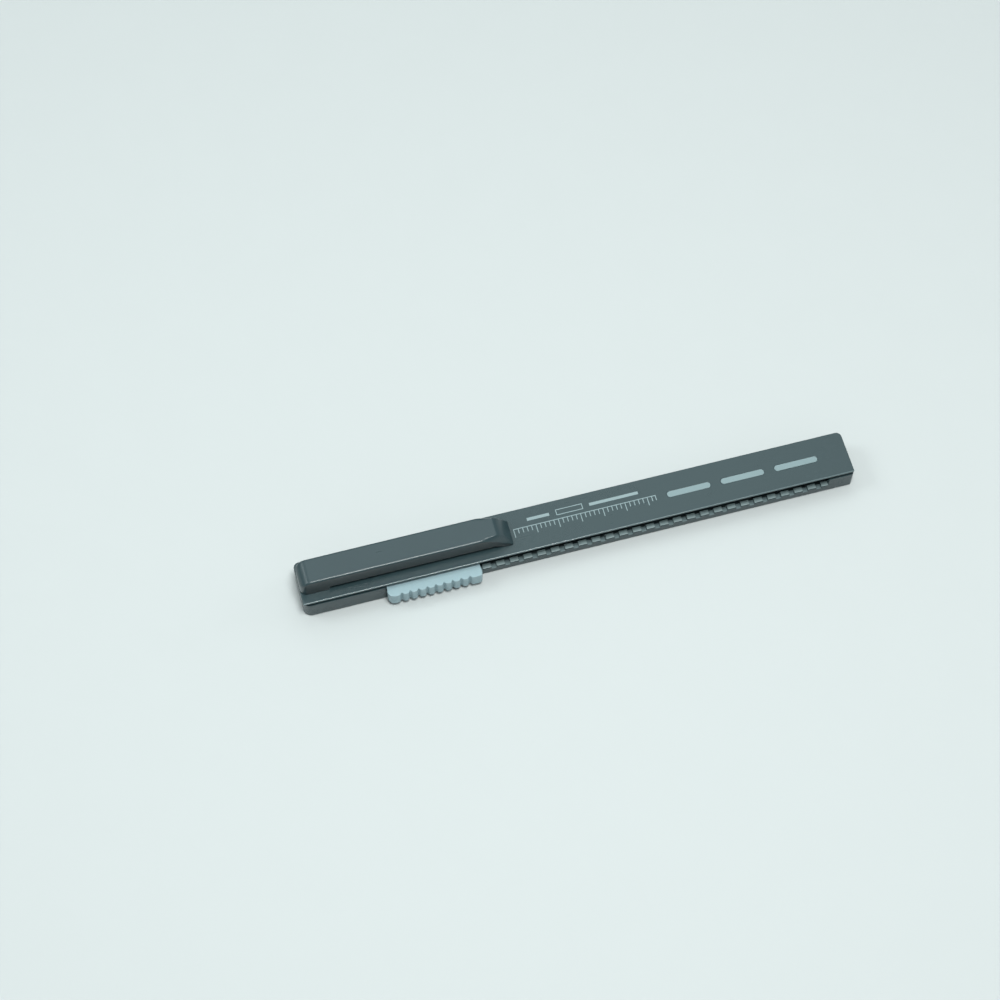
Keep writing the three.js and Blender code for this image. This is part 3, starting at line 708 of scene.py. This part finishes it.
def make_thumb_button():
    bm = bmesh.new()
    low, high = knob_low.z + PAD_RIM, knob_high.z - PAD_RIM
    plan = bm.faces.new([bm.verts.new((p.x, p.y, low)) for p in pad_plan()])
    grown = bmesh.ops.extrude_face_region(bm, geom=[plan])
    raised = [v for v in grown["geom"] if isinstance(v, bmesh.types.BMVert)]
    bmesh.ops.translate(bm, vec=(0, 0, high - low), verts=raised)
    bmesh.ops.recalc_face_normals(bm, faces=bm.faces)
    by_height = sorted(bm.faces, key=lambda face: face.calc_center_median().z)
    for end_face in (by_height[0], by_height[-1]):
        roll_rim(bm, end_face, PAD_RIM)
    finished_piece(bm, "thumb_button", [slide_finish], "slide", ["thumb_slide"])


make_thumb_button()

# %% [markdown]
# Behind the pad, a neck goes through the slot, and two pegs on it join the latch plate. The neck
# starts inside the pad and stands a hair lower, so that no line shows between them. One mesh
# for pad and neck would need a boolean at the wave, which leaves long thin faces.

# %% The neck and its pegs
def add_block(bm, low, high):
    made = bmesh.ops.create_cube(bm, size=1)["verts"]
    low, high = Vector(low), Vector(high)
    bmesh.ops.scale(bm, vec=high - low, verts=made)
    bmesh.ops.translate(bm, vec=(low + high) / 2, verts=made)


NECK_INSET = 0.1 * MM
NECK_OVERLAP = 0.5 * MM
NECK_DROP = 0.02 * MM
NECK_ROUND = 0.04  # mm
NECK_TIP = case_low.y + 1.75 * MM
NECK_LOW = 2.55 * MM
PEG_PLACES = (case_low.x + 23.8 * MM, case_low.x + 33.2 * MM)
PEG_HALF = (0.7 * MM, 0.35 * MM)  # along and up
PEG_HEIGHT = 3.6 * MM


def make_thumb_neck():
    bm = bmesh.new()
    start, end = knob_low.x + NECK_INSET, knob_high.x - NECK_INSET
    top = knob_high.z - NECK_DROP
    add_block(bm, (start, PAD_BACK - NECK_OVERLAP, NECK_LOW), (end, NECK_TIP, top))
    for x in PEG_PLACES:
        low = (x - PEG_HALF[0], NECK_TIP, PEG_HEIGHT - PEG_HALF[1])
        add_block(bm, low, (x + PEG_HALF[0], knob_high.y, PEG_HEIGHT + PEG_HALF[1]))
    round_edges(bm, everywhere, NECK_ROUND, 2)
    finished_piece(bm, "thumb_neck", [slide_finish], "slide", ["thumb_slide"])


make_thumb_neck()

# %% [markdown]
# ## The eraser
# A cut length of extruded vinyl: four long edges slightly round, two cut ends. The front end
# has been touched to paper, so its edge is rounder than the others. It is a plain block, so it
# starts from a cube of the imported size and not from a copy.

# %% Eraser
TIP_ROUND = 0.45  # mm
STICK_ROUND = 0.18  # mm


def make_eraser_stick():
    low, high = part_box("eraser")
    bm = bmesh.new()
    add_block(bm, low, high)
    tip = round_edges(bm, lambda p, d: near(p.x, high.x), TIP_ROUND, 4)
    long_edges = round_edges(bm, lambda p, d: abs(d.x) > 0.9, STICK_ROUND, 3)
    print("rounded", tip, "edges at the tip and", long_edges, "long ones")
    finished_piece(bm, "eraser_stick", [eraser_finish], "eraser", ["eraser"])


make_eraser_stick()

# %% [markdown]
# ## The pocket clip
# The clip is one long moulded bar: a flat top, a round rear end and a nose that bends down to
# the cover. It could be pulled out of a cube, but its bends are easier to draw: its side outline
# is drawn once, from the root to the nose, and extruded across.

# %% Clip outline, extruded
CLIP_FLAT_END = 43.2 * MM  # from the rear end of the case
CLIP_ROOT_LENGTH = 6.5 * MM
CLIP_GAP = 1.0 * MM
CLIP_NOSE_LENGTH = 2.6 * MM
CLIP_REAR_ROUND = 2.5 * MM
CLIP_SIDE_ROUND = 0.42  # mm
CLIP_SIDE_LEAST = 0.9  # radians: only the sides' own corners turn by more
CLIP_WALL = 1.1 * MM
CLIP_CORE_END = 39.2 * MM
clip_half = (clip_high.y - clip_low.y) / 2


def curve_points(corners, count):
    """Points along a Bezier curve of three or four corners, without the first one."""
    points = []
    for i in range(1, count + 1):
        layer = [Vector(c) for c in corners]
        while len(layer) > 1:
            layer = [a.lerp(b, i / count) for a, b in zip(layer, layer[1:])]
        points.append(layer[0])
    return points


def clip_side_points():
    """The bar's side outline in X and Z, from the root's foot forwards and back over the top."""
    rear, tip = clip_low.x, clip_high.x
    seat, top = clip_low.z, clip_high.z
    under = cover_high.z + CLIP_GAP
    root = case_low.x + CLIP_ROOT_LENGTH
    flat_end = case_low.x + CLIP_FLAT_END
    nose = tip - CLIP_NOSE_LENGTH
    points = [Vector((rear, seat)), Vector((root, seat)), Vector((root, under))]
    bend = [(nose - CLIP_GAP, under), (nose, under), (nose + CLIP_GAP / 2, seat)]
    points.append(Vector(bend[0]))
    points += curve_points(bend, 6)
    toe = [(tip - CLIP_GAP / 2, seat), (tip, seat), (tip, seat + CLIP_GAP / 2)]
    points.append(Vector(toe[0]))
    points += curve_points(toe, 4)
    brow = [
        (tip, seat + CLIP_GAP / 2),
        (tip - CLIP_GAP, (seat + top) / 2),
        (flat_end + CLIP_GAP, top),
        (flat_end, top),
    ]
    points += curve_points(brow, 16)
    turn_centre = (rear + CLIP_REAR_ROUND, top - CLIP_REAR_ROUND)
    return points + arc_points(turn_centre, CLIP_REAR_ROUND, 90, 180, 8)


def extruded_bar():
    bm = bmesh.new()
    outline = [bm.verts.new((p.x, clip_half, p.y)) for p in clip_side_points()]
    side = bm.faces.new(outline)
    grown = bmesh.ops.extrude_face_region(bm, geom=[side])
    moved = [v for v in grown["geom"] if isinstance(v, bmesh.types.BMVert)]
    bmesh.ops.translate(bm, vec=(0, -2 * clip_half, 0), verts=moved)
    bmesh.ops.recalc_face_normals(bm, faces=bm.faces)
    return bm


# %% [markdown]
# The real bar is hollow below, as any thick moulding is. A boolean could subtract the core, but
# it leaves stray edges where the core meets the bend. Here four straight cuts mark the core's
# outline on the underside, and the faces inside it are extruded up to the roof. The cuts'
# leftover edges on flat faces dissolve again. Beware: the extrusion keeps the faces it started
# from, so they still close the core from below, like a lid. Deleting them would open it.

# %% Hollow core
def slice_piece(bm, point, normal):
    everything = [*bm.verts, *bm.edges, *bm.faces]
    bmesh.ops.bisect_plane(bm, geom=everything, dist=1e-7, plane_co=point, plane_no=normal)


def push_up_core(bm):
    start, end = clip_low.x + CLIP_WALL, case_low.x + CLIP_CORE_END
    side = clip_half - CLIP_WALL
    roof = clip_high.z - CLIP_WALL
    for x in (start, end):
        slice_piece(bm, (x, 0, 0), (1, 0, 0))
    for y in (-side, side):
        slice_piece(bm, (0, y, 0), (0, 1, 0))

    def in_core(face):
        middle = face.calc_center_median()
        return start < middle.x < end and abs(middle.y) < side and middle.z < roof

    grown = bmesh.ops.extrude_face_region(bm, geom=[f for f in bm.faces if in_core(f)])
    raised = [v for v in grown["geom"] if isinstance(v, bmesh.types.BMVert)]
    for vert in raised:
        vert.co.z = roof
    bmesh.ops.remove_doubles(bm, verts=bm.verts, dist=0.001 * MM)
    bmesh.ops.dissolve_limit(bm, angle_limit=FLAT, verts=bm.verts, edges=bm.edges)
    bmesh.ops.recalc_face_normals(bm, faces=bm.faces)
    print("core from", round(start / MM, 1), "to", round(end / MM, 1), "mm")


# %% [markdown]
# The edges of the two sides are rounded. Then the ends are shaped by moving the slices: at the
# rear the sides draw in along a quarter circle, and towards the nose the shoulders fall away,
# more and more the nearer they are to the tip, so that the nose is crowned and not square. A
# bevel can't taper like this. The two sides mirror only what is dark in front of them, and they
# also get a finish of their own, painted much darker than the top: painted shade, nearly black.

# %% Rear corners, crowned nose
REAR_DRAW_IN = 1.4 * MM
REAR_SLICES = 6
CROWN_START = 39.8 * MM
CROWN_LENGTH = 4.6 * MM
CROWN_WIDTH = 1.0 * MM
CROWN_DROP = 2.6 * MM
CROWN_SLICES = 9
CROWN_SPACING = 0.4 * MM
CROWN_TOE = 3.4 * MM  # past this the whole end is crowned, below the roof too
AHEAD_CURVE = 1.4  # powers: the higher, the later the crown sets in
ASIDE_CURVE = 1.6


def draw_in_rear(bm):
    for i in range(1, REAR_SLICES + 1):
        cut = clip_low.x + REAR_DRAW_IN * (1 - math.cos(i / REAR_SLICES * math.pi / 2))
        slice_piece(bm, (cut, 0, 0), (1, 0, 0))
    for vert in bm.verts:
        into = REAR_DRAW_IN - (vert.co.x - clip_low.x)
        if into > 0:
            draw_in = REAR_DRAW_IN - math.sqrt(max(REAR_DRAW_IN**2 - into**2, 0))
            vert.co.y -= math.copysign(draw_in * abs(vert.co.y) / clip_half, vert.co.y)


def crown_nose(bm):
    start = case_low.x + CROWN_START
    for i in range(CROWN_SLICES):
        slice_piece(bm, (start + i * CROWN_SPACING, 0, 0), (1, 0, 0))
    outer = clip_half - CLIP_SIDE_ROUND * MM
    shoulder = CROWN_WIDTH - CLIP_SIDE_ROUND * MM
    for inset in (0.25, 0.5, 0.75):
        for side in (-1, 1):
            slice_piece(bm, (0, side * (outer - inset * shoulder), 0), (0, 1, 0))
    low, high = clip_low.z, clip_high.z
    roof = high - CLIP_WALL
    for vert in bm.verts:
        ahead = min(max((vert.co.x - start) / CROWN_LENGTH, 0), 1)
        aside = max(abs(vert.co.y) - (clip_half - CROWN_WIDTH), 0) / CROWN_WIDTH
        if ahead > 0 and aside > 0 and (vert.co.z > roof or vert.co.x > start + CROWN_TOE):
            height = (vert.co.z - low) / (high - low)
            vert.co.z -= CROWN_DROP * ahead**AHEAD_CURVE * aside**ASIDE_CURVE * height


def make_pocket_clip():
    bm = extruded_bar()
    push_up_core(bm)

    def is_side_edge(p, d):
        above_seat = p.z > cover_high.z + CLIP_GAP / 2
        return above_seat and abs(p.y) > clip_half - 0.01 * MM and abs(d.y) < 0.1

    rounded = round_edges(bm, is_side_edge, CLIP_SIDE_ROUND, 4, CLIP_SIDE_LEAST)
    print("rounded", rounded, "edges of the clip")
    draw_in_rear(bm)
    crown_nose(bm)
    bmesh.ops.recalc_face_normals(bm, faces=bm.faces)
    # painted shade: the clip's sides get the darker finish
    print(give_finish(bm, 1, lambda p, n: abs(n.y) > 0.97), "faces on the clip's sides")
    finishes = [clip_finish, clip_side_shade_finish]
    finished_piece(bm, "clip_bar", finishes, "clip", ["pocket_clip"])


make_pocket_clip()

# %% [markdown]
# ## The print
# A small generic scale is printed on the cover between the clip and the windows: a base line
# with ticks below it, and above it an open box between two bars. A mask in the cover's material
# could draw the marks, but thin blocks stay crisp at any distance, and printed ink really does
# stand a hundredth of a millimetre or two proud.

# %% Printed scale
INK_THICKNESS = 0.015 * MM
INK_LINE = 0.17 * MM
PRINT_START = 47.7 * MM  # from the rear end of the case
PRINT_END = 79.7 * MM
SCALE_BASE = 0.45 * MM
LONG_TICK = 1.9 * MM
SHORT_TICK = 1.1 * MM
BAND_LOW, BAND_HIGH = 1.45 * MM, 2.85 * MM


def ink_bar(bm, x_ends, y_ends):
    foot = cover_high.z
    add_block(bm, (x_ends[0], y_ends[0], foot), (x_ends[1], y_ends[1], foot + INK_THICKNESS))


def ink_box(bm, x_ends, y_ends):
    inner = (y_ends[0] + INK_LINE, y_ends[1] - INK_LINE)
    ink_bar(bm, x_ends, (y_ends[0], inner[0]))
    ink_bar(bm, x_ends, (inner[1], y_ends[1]))
    ink_bar(bm, (x_ends[0], x_ends[0] + INK_LINE), inner)
    ink_bar(bm, (x_ends[1] - INK_LINE, x_ends[1]), inner)


def make_printed_scale():
    bm = bmesh.new()
    start, end = case_low.x + PRINT_START, case_low.x + PRINT_END
    ink_bar(bm, (start, end), (SCALE_BASE, SCALE_BASE + INK_LINE))
    ticks = round((end - start) / MM)
    for i in range(ticks + 1):
        reach = LONG_TICK if i % 5 == 0 else SHORT_TICK
        x = min(start + i * MM, end - INK_LINE)
        ink_bar(bm, (x, x + INK_LINE), (SCALE_BASE - reach, SCALE_BASE))
    ink_box(bm, (start + 10 * MM, start + 16 * MM), (BAND_LOW, BAND_HIGH))
    slim = (BAND_LOW + 0.35 * MM, BAND_HIGH - 0.35 * MM)
    ink_bar(bm, (start + 3.5 * MM, start + 8.5 * MM), slim)
    ink_bar(bm, (start + 17.5 * MM, start + 28.5 * MM), slim)
    print("the scale has", ticks + 1, "ticks")
    finished_piece(bm, "printed_scale", [ink_finish], "case")


make_printed_scale()
